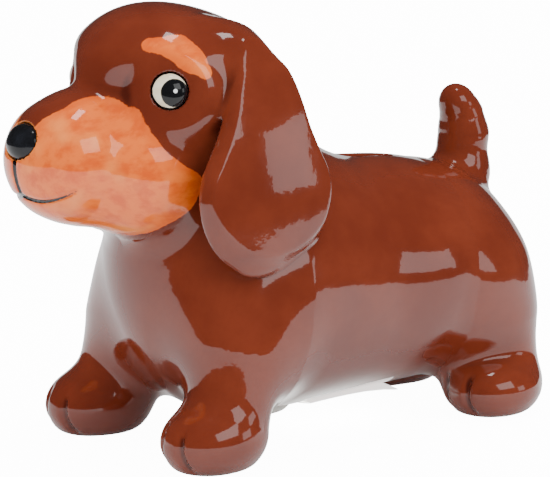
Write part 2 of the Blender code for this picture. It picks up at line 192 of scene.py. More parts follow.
# %% Legs, with two grooves between the toes of each paw
def toes(p, middle, front):
    """How much clay the modelling tool takes out: two bell-shaped grooves down the paw's front."""
    x, y, z = p
    face = step(front - y, -1.0, 5.0) * step(20.0 - z, 0.0, 7.0)
    spread = 1.0 + 0.012 * (10.0 - z)
    lines = sum(np.exp(-(((x - middle - side * 5.4 * spread) / 1.25) ** 2)) for side in (-1, 1))
    return 1.5 * face * lines


def front_leg(p):
    shoulder = ball(p, (26.5, shoulder_y - 19.5, 48.3), (18, 22.5, 26))
    shank = roll(p, (31.5, shoulder_y - 26, 38), (33.5, shoulder_y - 33.2, 15), 17.1, 14.9)
    paw = ball(p, (35.6, shoulder_y - 40.3, 11.2), (16.0, 19.0, 13.7))
    paw = paw + toes(p, 35.6, shoulder_y - 50.0)
    return join(join(shoulder, shank, 10), paw, 6)


def rear_leg(p):
    thigh = ball(p, (22.1, shoulder_y + 91.8, 45.1), (18, 22.3, 25))
    shank = roll(p, (25.4, shoulder_y + 100.4, 34), (26.5, shoulder_y + 103.9, 13), 13.7, 12.6)
    paw = ball(p, (31.6, shoulder_y + 93.0, 10.2), (16.9, 19.2, 12.4))
    paw = paw + toes(p, 31.6, shoulder_y + 82.0)
    return join(join(thigh, shank, 10), paw, 6)


# %% Tail
def tail(p):
    """Tapered rolls end to end, leaning back from the croup and curling forward at the tip."""
    stations = ((95.2, 66.0, 12.9), (103.4, 86.6, 10.4), (104.6, 101.4, 8.9), (103.0, 109.6, 7.3),
                (100.6, 114.0, 5.9))
    spots = [((0, shoulder_y + y, z), r) for y, z, r in stations]
    rolls = [roll(p, a, b, ra, rb) for (a, ra), (b, rb) in zip(spots, spots[1:])]
    return functools.reduce(lambda a, b: join(a, b, 4), rolls)


# %% Head, with its brows, eye sockets, muzzle and mouth line
def smile(x):
    """Height of the smile: a parabola, lowest 7 mm out from the middle."""
    return 97.2 + 0.0345 * (x - 7.0) ** 2


def mouth_line(p):
    """Distance from the mouth, seen from the front: a short upright line and the smile."""
    x, y, z = p
    upright = np.sqrt(x * x + np.maximum(np.maximum(98.5 - z, z - 113.0), 0) ** 2)
    lips = np.sqrt((z - smile(x)) ** 2 + np.maximum(x - 18.0, 0) ** 2)
    return np.minimum(upright, lips)


EYE_MIDDLE = np.array([25.9, skull_y - 11.1, 133.6])
EYE_AXIS = np.array([0.849, -0.4955, 0.185])
EYE_RADII = (6.5, 4.5, 6.5)
PRESSED_LEVEL = 1.7
PRESSED_FULLY = 6.0
PRESSED_RIM = 15.5
NOSE_MIDDLE = np.array([0.0, skull_y - 53.4, 116.8])
NOSE_AXIS = np.array([0.0, -0.923, 0.384])
NOSE_RADII = (8.1, 5.2, 6.6)
MOUTH_DEPTH = 0.9
MOUTH_WIDTH = 0.9


def turned_to(p, middle, axis):
    """Coordinates along an axis that leans in the upright plane through it, sideways, and up from it."""
    side = np.cross((0, 0, 1), axis)
    side /= np.linalg.norm(side)
    d = [a - b for a, b in zip(p, middle)]
    return tuple(sum(d[i] * way[i] for i in range(3)) for way in (side, axis, np.cross(axis, side)))


def pressed(face, p):
    """Clay pressed level round an eye, so that the eye stands evenly proud of it."""
    q = turned_to(p, EYE_MIDDLE, EYE_AXIS)
    share = step(-np.sqrt(q[0] ** 2 + q[2] ** 2), -PRESSED_RIM, -PRESSED_FULLY)
    return face * (1 - share) + (q[1] - PRESSED_LEVEL) * share


def eye_seat(p):
    """A recess a little larger than the eye, flat at the back so that the wall isn't pierced."""
    q = turned_to(p, EYE_MIDDLE, EYE_AXIS)
    return np.maximum(ball(q, (0, 0, 0), tuple(r + 0.2 for r in EYE_RADII)), -0.5 - q[1])


def nose_shape(p):
    return ball(turned_to(p, NOSE_MIDDLE, NOSE_AXIS), (0, 0, 0), NOSE_RADII)


def head(p):
    """Skull, cheeks and muzzle; a hollow ahead of each eye; then the eye seats and the mouth."""
    x, y, z = p
    skull = ball(p, (0, skull_y, skull_z), (35.1, 31.1, 31.5))
    occiput = ball(p, (0, skull_y + 19.6, 122.3), (35.1, 32.1, 32.1))
    jowl = ball(p, (11.5, skull_y - 10.3, 104.3), (19.3, 20.0, 21.2))
    muzzle = roll(p, (0, skull_y - 20.2, 107.1), (0, skull_y - 35.8, 109.5), 24.1, 22.1)
    bridge = roll(p, (0, skull_y - 17.0, 115.3), (0, skull_y - 30.0, 115.5), 18.8, 18.5)
    chin = ball(p, (0, skull_y - 31.0, 103.6), (17.5, 17.0, 17.8))
    muzzle = join(join(muzzle, bridge, 2.5), chin, 3)
    brain_case = join(skull, occiput, 12)
    orbit = ball(p, (39.8, skull_y - 37.6, 133.9), (30.9, 25.6, 12.1))
    brain_case = cut(brain_case, orbit, 11.5)
    face = join(brain_case, join(jowl, muzzle, 10), 3.5)
    face = cut(pressed(face, p), eye_seat(p), 0.9)
    face = cut(face, nose_shape(p) - 0.25, 0.8)
    line = mouth_line(p)
    return face + MOUTH_DEPTH * np.exp(-((line / MOUTH_WIDTH) ** 2)) * step(-92.0 - y, 0, 4)


# %% Ears
EAR_HEIGHTS = (66, 68.7, 72.5, 77.4, 84, 91, 98, 105, 111, 118, 128, 134, 140, 146, 152, 158)
EAR_SPREAD = (-130, 0, 154, 406, 635, 745, 770, 689, 536, 382, 250, 195, 132, 55, 0, -110)
EAR_MIDDLE = (-38, -37, -35.2, -33.4, -32.6, -32.7, -32.7, -32.6, -32.2, -31.4, -30, -29.6, -29.5,
              -31, -32, -33)
EAR_SHEET_HEIGHTS = (60, 80, 95, 110, 120, 132, 145, 156)
EAR_SHEET = (46.2, 46.6, 46.3, 44.2, 42.0, 38.4, 33.0, 26.5)
EAR_HALF = 3.4
BEVEL_HEIGHTS = (66, 78, 84, 90, 98, 110)
BEVEL_INSETS = (6.5, 6.5, 5.0, 3.0, 1.8, 1.5)
BEVEL_DEPTH = 3.8


def ear(p):
    """A slab that follows a bent sheet, cut to an outline and bevelled round its outer rim.

    The outline is where (y - middle)^2 equals the square of the half width at that height. The
    bevel runs from one depth on the rim to one inset on the face, and is widest at the bottom.
    """
    x, y, z = p
    square = smooth_curve(z, EAR_HEIGHTS, EAR_SPREAD)
    middle = smooth_curve(z, EAR_HEIGHTS, EAR_MIDDLE)
    rise = 0.5
    square_slope = (smooth_curve(z + rise, EAR_HEIGHTS, EAR_SPREAD) - square) / rise
    middle_slope = (smooth_curve(z + rise, EAR_HEIGHTS, EAR_MIDDLE) - middle) / rise
    side = y - middle
    slope = np.sqrt(4 * side**2 + (2 * side * middle_slope + square_slope) ** 2)
    outline = (side**2 - square) / np.maximum(slope, 4.0)
    out = x - smooth_curve(z, EAR_SHEET_HEIGHTS, EAR_SHEET) + 2.2 * (side / 27) ** 2
    inset = smooth_curve(z, BEVEL_HEIGHTS, BEVEL_INSETS)
    bevel = (outline + inset) * BEVEL_DEPTH + (out - EAR_HALF) * inset
    bevel = bevel / np.sqrt(inset**2 + BEVEL_DEPTH**2)
    slab = cut(np.abs(out) - EAR_HALF, -outline, 2.5)
    return cut(slab, -bevel, 1.6)


# %% The whole dog
def mirrored(p):
    return np.abs(p[0]), p[1], p[2]


def bare_body(p):
    """Torso, legs and head joined, standing on flat soles."""
    body = join(join(torso(p), rear_leg(p), 12), front_leg(p), 12)
    body = cut(body, p[2], 3.0)
    return join(body, head(p), 10)


SLOT_HALF_LENGTH = 22.0
SLOT_HALF_WIDTH = 2.5
SLOT_LOWEST = 80.0
BOSS_RADIUS = 23.4
LAND_RADIUS = 18.6
HOLE_RADIUS = 15.4
HOLE_TOP = 30.0
slot_y = shoulder_y + 46.5


def openings(p, skin):
    """Hollow the clay to one wall, then cut the coin slot and the stepped stopper hole."""
    x, y, z = p
    radius = np.sqrt(x * x + (y - stopper_y) ** 2)
    boss = np.maximum(radius - BOSS_RADIUS, z - land - WALL)
    solid = np.maximum(skin, -np.maximum(skin + WALL, -boss))
    along = np.maximum(np.abs(y - slot_y) - (SLOT_HALF_LENGTH - SLOT_HALF_WIDTH), 0)
    slot = np.maximum(np.sqrt(x * x + along * along) - SLOT_HALF_WIDTH, SLOT_LOWEST - z)
    pocket = np.maximum(radius - LAND_RADIUS, z - land)
    hole = np.maximum(radius - HOLE_RADIUS, z - HOLE_TOP)
    return cut(cut(solid, slot, 1.8), np.minimum(pocket, hole), 1.2)


def below_skin(p):
    q = mirrored(p)
    return join(bare_body(q), tail(q), 5)


def below(p):
    """The dog without its ears, hollow: for the torso, legs and tail."""
    return openings(p, below_skin(p))


RIGHT_EAR_SWING = 6.0


def hung_ear(p):
    """Either ear, luted by hand: the right one's tip hangs a little further back than the left's."""
    x, y, z = p
    swing = RIGHT_EAR_SWING * step(145.0 - z, 0, 75) * (x < 0)
    return ear((np.abs(x), y - swing, z))


def above_skin(p):
    """Body, head and ears; an ear's edge stands clear below and melts into the skull above."""
    fillet = 2.0 + 11.0 * step(p[2], 134.0, 150.0)
    return join(bare_body(mirrored(p)), hung_ear(p), fillet)


def above(p):
    """The dog with its ears, hollow: for the head and ears."""
    skin = above_skin(p)
    return np.maximum(skin, -(skin + WALL))


print("shoulder", round(float(below_skin((0.0, shoulder_y, shoulder_z))), 1), "mm deep")

# %% [markdown]
# ## From numbers to a mesh
#
# The functions are sampled on a cubic grid. Every cube that the skin passes through gets one
# vertex, where the skin crosses its edges on average, and every grid edge that the skin crosses
# gets a square of the four cubes round it. A few Newton steps then put each vertex exactly on
# the skin. Marching cubes would do too, but it makes thin triangles, and a glossy glaze shows
# them.

# %% Sampling and skinning
def sample(field, low, high, pitch):
    """The field's values on a cubic grid over a box."""
    xs, ys, zs = (np.arange(a, b, pitch, dtype=np.float32) for a, b in zip(low, high))
    values = field((xs[:, None, None], ys[None, :, None], zs[None, None, :]))
    return values.astype(np.float64), np.array(low, float)


def skin_of(values, origin, pitch):
    """One vertex for each cube that the skin crosses, one square for each grid edge it crosses."""
    inside = values < 0
    counts = sum(inside[i:i + inside.shape[0] - 1, j:j + inside.shape[1] - 1, k:k + inside.shape[2] - 1]
                 .astype(np.int8) for i in (0, 1) for j in (0, 1) for k in (0, 1))
    active = (counts > 0) & (counts < 8)
    cubes = np.argwhere(active)
    number = np.full(active.shape, -1)
    number[active] = np.arange(len(cubes))
    total = np.zeros((len(cubes), 3))
    crossings = np.zeros(len(cubes))
    squares = []
    for axis in range(3):
        u, v = [a for a in range(3) if a != axis]
        for du in (0, 1):
            for dv in (0, 1):
                start = np.zeros(3, int)
                start[[u, v]] = du, dv
                end = start.copy()
                end[axis] += 1
                a = values[tuple((cubes + start).T)]
                b = values[tuple((cubes + end).T)]
                crossed = (a < 0) != (b < 0)
                place = np.tile(start.astype(float), (len(cubes), 1))
                place[:, axis] = np.where(crossed, a / np.where(crossed, a - b, 1), 0)
                total += place * crossed[:, None]
                crossings += crossed
        first = [slice(None)] * 3
        second = [slice(None)] * 3
        first[axis] = slice(0, -1)
        second[axis] = slice(1, None)
        leaves = inside[tuple(first)]
        edges = np.argwhere(leaves != inside[tuple(second)])
        last = np.array(inside.shape) - 1
        edges = edges[(edges[:, [u, v]] > 0).all(1) & (edges[:, [u, v]] < last[[u, v]]).all(1)]
        corners = []
        for du, dv in ((1, 1), (0, 1), (0, 0), (1, 0)):
            cube = edges.copy()
            cube[:, u] -= du
            cube[:, v] -= dv
            corners.append(number[tuple(cube.T)])
        square = np.stack(corners, 1)
        flip = leaves[tuple(edges.T)] != (axis == 1)
        squares.append(np.where(flip[:, None], square, square[:, ::-1]))
    return (cubes + total / crossings[:, None]) * pitch + origin, np.concatenate(squares)


def slope_of(field, points, reach):
    """The field's slope at the points, by differences a small reach either way along each axis."""
    shifts = reach * np.eye(3)
    return np.stack([(field(tuple((points + s).T)) - field(tuple((points - s).T))) / (2 * reach)
                     for s in shifts], 1)


def settle(field, points, rounds=3):
    """Newton steps: move each point down the slope by its value over the slope's square."""
    for _ in range(rounds):
        slope = slope_of(field, points, 0.02)
        value = field(tuple(points.T))
        shift = value / np.maximum((slope**2).sum(1), 0.05)
        points = points - np.clip(shift, -0.6, 0.6)[:, None] * slope
    return points


def triangles_of(points, squares):
    """Split each square along its shorter diagonal."""
    a, b, c, d = (points[squares[:, i]] for i in range(4))
    short = ((a - c) ** 2).sum(1) < ((b - d) ** 2).sum(1)
    one = np.where(short[:, None], squares[:, [0, 1, 2]], squares[:, [0, 1, 3]])
    two = np.where(short[:, None], squares[:, [0, 2, 3]], squares[:, [1, 2, 3]])
    return np.concatenate([one, two])


# %% [markdown]
# ## Luting seams
#
# The members are parted where a second function changes sign: a plane for the neck, and for a
# leg the place where leg and body are equally near. Each triangle on the line is cut in two,
# and both members keep the same cut edge, so no gap shows. At the neck the two members come
# from two skins of different pitch, which meet on one plane. The cut end of each hollow wall
# is then filled with flat triangles.

# %% Parting one skin into two
Skin = namedtuple("Skin", "points faces ends")


def parted(skin, values):
    """The side of a skin where the values are negative, with its cut edge given new vertices."""
    points, faces, ends = skin
    inside = values < 0
    count = inside[faces].sum(1)
    whole = faces[count == 3]
    whole_ends = ends[count == 3]
    pieces = [whole]
    piece_ends = [whole_ends]
    crossing = {}
    for wanted in (1, 2):
        some = faces[count == wanted]
        odd = np.argmax(inside[some] == (wanted == 1), 1)
        rows = np.arange(len(some))
        corners = np.stack([some[rows, (odd + i) % 3] for i in range(3)], 1)
        crossing[wanted] = (corners, ends[count == wanted])
    pairs = np.concatenate([crossing[w][0][:, [0, i]] for w in (1, 2) for i in (1, 2)])
    edges, where = np.unique(np.sort(pairs, 1), axis=0, return_inverse=True)
    where = where.ravel() + len(points)
    a, b = values[edges[:, 0]], values[edges[:, 1]]
    t = np.clip(a / (a - b), 0.001, 0.999)[:, None]
    middles = points[edges[:, 0]] * (1 - t) + points[edges[:, 1]] * t
    n1, n2 = len(crossing[1][0]), len(crossing[2][0])
    ab1, ac1, ab2, ac2 = np.split(where, [n1, 2 * n1, 2 * n1 + n2])
    one = crossing[1][0]
    two = crossing[2][0]
    pieces += [np.stack([one[:, 0], ab1, ac1], 1), np.stack([ab2, two[:, 1], two[:, 2]], 1),
               np.stack([ab2, two[:, 2], ac2], 1)]
    piece_ends += [crossing[1][1], crossing[2][1], crossing[2][1]]
    rim = np.concatenate([np.stack([ab1, ac1], 1), np.stack([ac2, ab2], 1)])
    kept = np.concatenate(pieces)
    used, renumbered = np.unique(kept, return_inverse=True)
    table = np.full(len(points) + len(middles), -1)
    table[used] = np.arange(len(used))
    every = np.concatenate([points, middles])
    return Skin(every[used], renumbered.reshape(kept.shape), np.concatenate(piece_ends)), table[rim]


def filled(skin, rim):
    """Fill the cut end of a wall: flat triangles between the rim's rings, seen along their axis."""
    ring, local = np.unique(rim, return_inverse=True)
    local = local.reshape(rim.shape)
    spots = skin.points[ring]
    normal = np.linalg.svd(spots - spots.mean(0), full_matrices=False)[2][2]
    bm = bmesh.new()
    verts = [bm.verts.new(p) for p in spots]
    bm.verts.index_update()
    sides = [bm.edges.new((verts[a], verts[b])) for a, b in local.tolist()]
    bmesh.ops.triangle_fill(bm, use_beauty=True, use_dissolve=False, edges=sides, normal=Vector(normal))
    caps = np.array([[v.index for v in f.verts] for f in bm.faces]).reshape(-1, 3)
    bm.free()
    owned = {(a, b) for a, b in local.tolist()}
    same_way = sum((a, b) in owned for f in caps.tolist() for a, b in zip(f, f[1:] + f[:1]))
    other_way = sum((b, a) in owned for f in caps.tolist() for a, b in zip(f, f[1:] + f[:1]))
    if same_way > other_way:
        caps = caps[:, ::-1]
    print("   end wall:", len(caps), "triangles")
    return Skin(skin.points, np.concatenate([skin.faces, ring[caps]]),
                np.concatenate([skin.ends, np.ones(len(caps), bool)]))


def part_at(skin, values):
    """Both sides of a seam, each with its end wall."""
    return [filled(*parted(skin, side * values)) for side in (1, -1)]


# %% Skin the dog below the neck, and above it
def skinned(field, low, high, pitch):
    values, origin = sample(field, low, high, pitch)
    points, squares = skin_of(values, origin, pitch)
    points = settle(field, points)
    faces = triangles_of(points, squares)
    print("skin of", len(points), "points at", pitch, "mm")
    return Skin(points, faces, np.zeros(len(faces), bool))


def neck_seam(points):
    """Height above the luted seam of the neck, a plane tilted forward."""
    tilt = math.radians(15.5)
    rise = points[:, 2] - (skull_z - 40.9)
    back = points[:, 1] - (skull_y + 12.5)
    return rise * math.cos(tilt) - back * math.sin(tilt)


BODY_BOX = ((-56, -80, -3), (56, 116, 126))
BODY_PITCH = 1.15
# Known fault: the head's box ends just short of the back of the neck's outer ring, so the end
# wall spans only the inner ring and the head's mesh stays open at the neck.
HEAD_BOX = ((-54, -113, 64), (54, 20, 164))
HEAD_PITCH = 0.8
low_skin = skinned(below, *BODY_BOX, BODY_PITCH)
low_skin, neck_rim = parted(low_skin, neck_seam(low_skin.points))
low_skin = filled(low_skin, neck_rim)

LEGS = {"front_left_leg": (front_leg, 1, -1), "front_right_leg": (front_leg, -1, -1),
        "rear_left_leg": (rear_leg, 1, 1), "rear_right_leg": (rear_leg, -1, 1)}
members = {}
for name, (leg, side, end) in LEGS.items():
    p = mirrored(low_skin.points.T)
    nearer = leg(p) - torso(p)
    elsewhere = np.maximum(-side * low_skin.points[:, 0], -end * (low_skin.points[:, 1] - slot_y))
    members[name], low_skin = part_at(low_skin, np.maximum(nearer, elsewhere))
p = mirrored(low_skin.points.T)
members["tail"], members["torso_shell"] = part_at(low_skin, tail(p) - torso(p))

high_skin = skinned(above, *HEAD_BOX, HEAD_PITCH)
for name, side in (("left_ear", 1), ("right_ear", -1)):
    p = high_skin.points.T
    nearer = hung_ear(p) - bare_body(mirrored(p))
    members[name], high_skin = part_at(high_skin, np.maximum(nearer, -side * high_skin.points[:, 0]))
high_skin, neck_rim = parted(high_skin, -neck_seam(high_skin.points))
members["head_shell"] = filled(high_skin, neck_rim)
print({name: len(skin.faces) for name, skin in members.items()})

# %% [markdown]
# ## Painted areas
#
# The painter's tan patches and the mouth are kept on the mesh as distances to their edges, in
# millimetres. The glaze's nodes turn a distance into a brushed edge much finer than the mesh,
# and the patch stays where it is on the face.

# %% Where the tan paint and the mouth line go
STRIPE_Y = (-112, -104, -95, -85, -77.5, -74.0, -71.0, -66)
STRIPE_X = (3.8, 5.0, 8.4, 8.6, 10.4, 13.6, 18.7, 27.0)
CHEEK_Z = (78, 81, 84, 88, 92, 98, 104, 109, 113, 117, 123.5, 128, 131, 136)
CHEEK_Y = (-76, -70, -64.7, -59.3, -54, -51.2, -51.4, -59.5, -64.3, -67.0, -69.8, -70.8, -73, -78)
BROW = (((20.7, -15.3, 149.2), 2.9), ((26.3, -7.5, 148.4), 5.0), ((30.1, -4.4, 144.5), 4.8),
        ((32.9, -1.2, 140.4), 2.9))
LIPS_BEHIND = -88.0
OFF_THE_MOUTH = 50.0


def to_curve(across, along, xs, ys):
    """Roughly the distance to a curve: the height over it, less for a steep curve."""
    rise = 0.5
    steepness = (smooth_curve(along + rise, xs, ys) - smooth_curve(along - rise, xs, ys)) / (2 * rise)
    return (across - smooth_curve(along, xs, ys)) / np.sqrt(1 + steepness**2)


def muzzle_patch(p):
    """Off the brown stripe that runs down to the nose, and ahead of the cheek and the throat."""
    x, y, z = p
    stripe = join(-to_curve(x, y, STRIPE_Y, STRIPE_X), z - 119.0, 1.5)
    return cut(stripe, -to_curve(y, z, CHEEK_Z, CHEEK_Y), 2.0)


def brow_patch(p):
    """A bean over the eye: the painted skin that lies inside a string of tapered rolls."""
    spots = [((x, skull_y + y, z), r) for (x, y, z), r in BROW]
    rolls = [roll(p, a, b, ra, rb) for (a, ra), (b, rb) in zip(spots, spots[1:])]
    return functools.reduce(lambda a, b: join(a, b, 2), rolls)


# %% Put a skin into an object
def put(name, skin, field, cover, node):
    """Make the mesh, with the field's own slope as its normals, and let it stand for a CAD node."""
    mesh = bpy.data.meshes.new(name)
    mesh.vertices.add(len(skin.points))
    mesh.vertices.foreach_set("co", (skin.points * MM).astype(np.float32).ravel())
    mesh.loops.add(3 * len(skin.faces))
    mesh.loops.foreach_set("vertex_index", skin.faces.ravel().astype(np.int32))
    mesh.polygons.add(len(skin.faces))
    mesh.polygons.foreach_set("loop_start", np.arange(0, 3 * len(skin.faces), 3, dtype=np.int32))
    mesh.polygons.foreach_set("use_smooth", ~skin.ends)
    mesh.update()
    p = tuple(skin.points.T)
    slope = slope_of(field, skin.points, 0.2)
    slope /= np.maximum(np.linalg.norm(slope, axis=1), 1e-6)[:, None]
    mesh.normals_split_custom_set(slope[skin.faces.ravel()].tolist())
    q = mirrored(p)
    values = {"depth": cover(p)}
    reach = 2.5
    round_about = sum(cover(tuple(p[i] + sign * reach * (i == axis) for i in range(3)))
                      for axis in range(3) for sign in (-1, 1))
    values["crease"] = (6 * values["depth"] - round_about) / reach**2
    if node == "head_shell":
        values["tan"] = np.minimum(muzzle_patch(q), brow_patch(q))
        values["mouth"] = np.where(p[1] < LIPS_BEHIND, mouth_line(q), OFF_THE_MOUTH)
        values["nose"] = nose_shape(p)
    for key, numbers in values.items():
        layer = mesh.attributes.new(key, "FLOAT", "POINT")
        layer.data.foreach_set("value", numbers.astype(np.float32))
    piece = bpy.data.objects.new(name, mesh)
    bpy.context.scene.collection.objects.link(piece)
    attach(piece, "bank")
    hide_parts(node)
    return piece


glazed = {}
for node, skin in members.items():
    high = node in ("head_shell", "left_ear", "right_ear")
    field, cover = (above, above_skin) if high else (below, below_skin)
    glazed[node] = put("glazed_" + node, skin, field, cover, node)
print("glazed members:", len(glazed))

# %% [markdown]
# ## Eyes, nose and label
#
# These are pressed from small moulds or cut from a sheet, and are simple enough for grids of two
# parameters. An eye or a nose is a cap whose first parameter is the angle from its axis and
# whose second goes round it, closed by a flat back that is buried in its seat.

# %% Grids
def grid_mesh(name, rings, values):
    """Join rings of points, each closed on itself, and fill the first and the last with a fan."""
    rows, count, _ = rings.shape
    points = np.concatenate([rings.reshape(-1, 3), [rings[0].mean(0), rings[-1].mean(0)]])
    here = np.arange(rows * count).reshape(rows, count)
    after = np.roll(here, -1, 1)
    faces = np.stack([here[:-1], here[1:], after[1:], after[:-1]], -1).reshape(-1, 4).tolist()
    faces += [(rows * count, a, b) for a, b in zip(here[0].tolist(), after[0].tolist())]
    faces += [(rows * count + 1, b, a) for a, b in zip(here[-1].tolist(), after[-1].tolist())]
    mesh = bpy.data.meshes.new(name)
    mesh.from_pydata((points * MM).tolist(), [], faces)
    mesh.shade_smooth()
    mesh.set_sharp_from_angle(angle=math.radians(40))
    for key, field in values.items():
        layer = mesh.attributes.new(key, "FLOAT", "POINT")
        layer.data.foreach_set("value", field(points).astype(np.float32))
    piece = bpy.data.objects.new(name, mesh)
    bpy.context.scene.collection.objects.link(piece)
    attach(piece, "bank")
    return piece


def cap(middle, axis, radii, widest, side=1):
    """P = middle + M (r1 sin t cos u, r2 cos t, r3 sin t sin u), t from 0 to the widest angle."""
    t = np.linspace(0.01, widest, 40)[:, None]
    u = np.linspace(0, math.tau, 96, endpoint=False)[None, :]
    across = np.cross((0, 0, 1), axis)
    across /= np.linalg.norm(across)
    rise = np.cross(axis, across)
    local = (radii[0] * np.sin(t) * np.cos(u), radii[1] * np.cos(t) + 0 * u,
             radii[2] * np.sin(t) * np.sin(u))
    points = middle + sum(part[..., None] * way for part, way in zip(local, (across, axis, rise)))
    points = points * (side, 1, 1)
    return points[:, ::-1] if side < 0 else points


# %% Eyes
def off_axis(side, right, up):
    """Distance across an eye from a spot that many millimetres behind and above its middle."""
    def field(p):
        q = turned_to(tuple((p * (side, 1, 1)).T), EYE_MIDDLE, EYE_AXIS)
        return np.hypot(q[0] - right, q[2] - up)
    return field


eyes = []
for name, side in (("left", 1), ("right", -1)):
    spots = {"rim": off_axis(side, 0, 0), "pupil": off_axis(side, 1.5, -0.75),
             "glint": off_axis(side, 1.7, -0.2)}
    dome = cap(EYE_MIDDLE, EYE_AXIS, EYE_RADII, math.pi / 2, side)
    eye = grid_mesh("painted_" + name + "_eye", dome, spots)
    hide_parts(name + "_eye")
    eyes.append(eye)
print("eyes:", len(eyes))

# %% Nose
nose = grid_mesh("glazed_nose", cap(NOSE_MIDDLE, NOSE_AXIS, NOSE_RADII, math.radians(105)), {})
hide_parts("nose")
print("nose:", len(nose.data.polygons), "faces")


# %% Label
def belly_height(x, y):
    """Height of the belly's skin over each point of the ground, by halving."""
    low = np.zeros_like(x)
    high = np.full_like(x, shoulder_z - 10.0)
    for _ in range(30):
        middle = (low + high) / 2
        inside = below_skin((x, y, middle)) < 0
        low, high = np.where(inside, low, middle), np.where(inside, middle, high)
    return high


label_low, label_high = box_mm("belly_label")


def paper(gap):
    """The label's sheet, stuck at u < 0.55 and curling away from the belly towards its left edge.

    P = (x(u), y(v), belly - gap - curl), curl = (1.0 + 2.4 v^3) ((u - 0.55) / 0.45)^2
    """
    u, v = np.meshgrid(np.linspace(0, 1, 41), np.linspace(0, 1, 61), indexing="ij")
    ragged = 0.35 * np.sin(9.0 * v) + 0.22 * np.sin(31.0 * v + 1.0) + 0.12 * np.sin(77.0 * v)
    x = label_low[0] + (label_high[0] - label_low[0] + 2.0) * u + ragged * u**6
    y = label_low[1] + (label_high[1] - label_low[1]) * v
    curl = (1.0 + 2.4 * v**3) * (np.maximum(u - 0.55, 0) / 0.45) ** 2
    return np.stack([x, y, belly_height(x, y) - gap - curl], -1)


def ribbon(sheet_above, sheet_below):
    """Rows of closed rings: each goes out along the upper sheet and back along the lower one.

    Known fault: rings in this order make faces that point inwards.
    """
    return np.concatenate([sheet_above, sheet_below[::-1]]).transpose(1, 0, 2)


label = grid_mesh("blank_label", ribbon(paper(0.25), paper(0.55)), {})
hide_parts("belly_label")
print("label is", round(label.dimensions.x / MM, 1), "by", round(label.dimensions.y / MM, 1), "mm")

# %% [markdown]
# ## Glaze
#
# Underglaze colour is brushed on, so its tone drifts over centimetres and shows faint strokes.
# The clear glaze over it pools in creases and draws thin on sharp edges. The creases are painted
# darker, partly for the pooled glaze and partly as painted shade. Inside the bank and under the
# paws the clay is left bare. The glaze's skin has a faint ripple. All of this is worked out from
# the object's own coordinates and from the distances kept on the meshes.

# %% Node helpers
def node(tree, kind, inputs=(), **settings):
    """Add a node. Each input is a constant or another node's output."""
    made = tree.nodes.new("ShaderNode" + kind)
    for key, value in settings.items():
        setattr(made, key, value)
    for socket, value in dict(inputs).items():
        if isinstance(value, bpy.types.NodeSocket):
            tree.links.new(value, made.inputs[socket])
        else:
            made.inputs[socket].default_value = value
    return made


def math_of(tree, operation, a, b=0.0, c=0.0):
    return node(tree, "Math", {0: a, 1: b, 2: c}, operation=operation).outputs[0]


def ramp_of(tree, value, low, high):
    """Smooth step of a value from 0 at low to 1 at high."""
    made = node(tree, "MapRange", {"Value": value, "From Min": low, "From Max": high},
                interpolation_type="SMOOTHSTEP")
    return made.outputs["Result"]


def kept(tree, name):
    return node(tree, "Attribute", attribute_name=name).outputs["Fac"]


def noise_of(tree, place, scale, detail=2.0, roughness=0.5):
    inputs = {"Vector": place, "Scale": scale, "Detail": detail, "Roughness": roughness}
    return node(tree, "TexNoise", inputs).outputs["Fac"]


def stretched(tree, place, along):
    """Coordinates squeezed along an axis, so that noise on them is drawn out along it."""
    return node(tree, "Mapping", {"Vector": place, "Scale": along}).outputs["Vector"]


def blend(tree, share, a, b):
    """Mix two colours; each is a constant or another node's output."""
    made = node(tree, "Mix", data_type="RGBA")
    for socket, value in ((made.inputs[0], share), (made.inputs[6], a), (made.inputs[7], b)):
        if isinstance(value, bpy.types.NodeSocket):
            tree.links.new(value, socket)
        else:
            socket.default_value = (*value, 1.0)
    return made.outputs[2]


def effect_group(name, outputs):
    """An empty node group with the given float outputs, and its output node."""
    tree = bpy.data.node_groups.new(name, "ShaderNodeTree")
    for title in outputs:
        tree.interface.new_socket(title, in_out="OUTPUT", socket_type="NodeSocketFloat")
    return tree, tree.nodes.new("NodeGroupOutput")


# %% What firing does to a glaze
firing, firing_out = effect_group("firing", ("Tone", "Strokes", "Crease Dark", "Thin", "Bare", "Ripple"))
place = node(firing, "TexCoord").outputs["Object"]
height = node(firing, "SeparateXYZ", {"Vector": place}).outputs["Z"]
crease = kept(firing, "crease")
drift = noise_of(firing, place, 38.0, 4.0, 0.55)
edge_noise = noise_of(firing, place, 420.0, 3.0)
firing.links.new(ramp_of(firing, drift, 0.30, 0.72), firing_out.inputs["Tone"])
strokes = noise_of(firing, stretched(firing, place, (900.0, 140.0, 500.0)), 1.0, 3.0, 0.6)
firing.links.new(ramp_of(firing, strokes, 0.42, 0.75), firing_out.inputs["Strokes"])
# Darker in creases: partly pooled glaze, partly painted shade where shade falls.
firing.links.new(ramp_of(firing, crease, 0.03, 0.35), firing_out.inputs["Crease Dark"])
firing.links.new(ramp_of(firing, crease, -0.45, -1.3), firing_out.inputs["Thin"])
depth = math_of(firing, "MULTIPLY_ADD", edge_noise, 0.9)
inward = math_of(firing, "ADD", kept(firing, "depth"), depth)
inside = ramp_of(firing, inward, -1.25, -1.6)
sole = ramp_of(firing, height, 0.0005, 0.0003)
firing.links.new(math_of(firing, "MAXIMUM", inside, sole), firing_out.inputs["Bare"])
ripple = noise_of(firing, place, 300.0, 2.0)
swell = noise_of(firing, place, 70.0, 1.0)
firing.links.new(math_of(firing, "ADD", math_of(firing, "MULTIPLY", ripple, 0.25), swell),
                 firing_out.inputs["Ripple"])
print("firing group has", len(firing.nodes), "nodes")

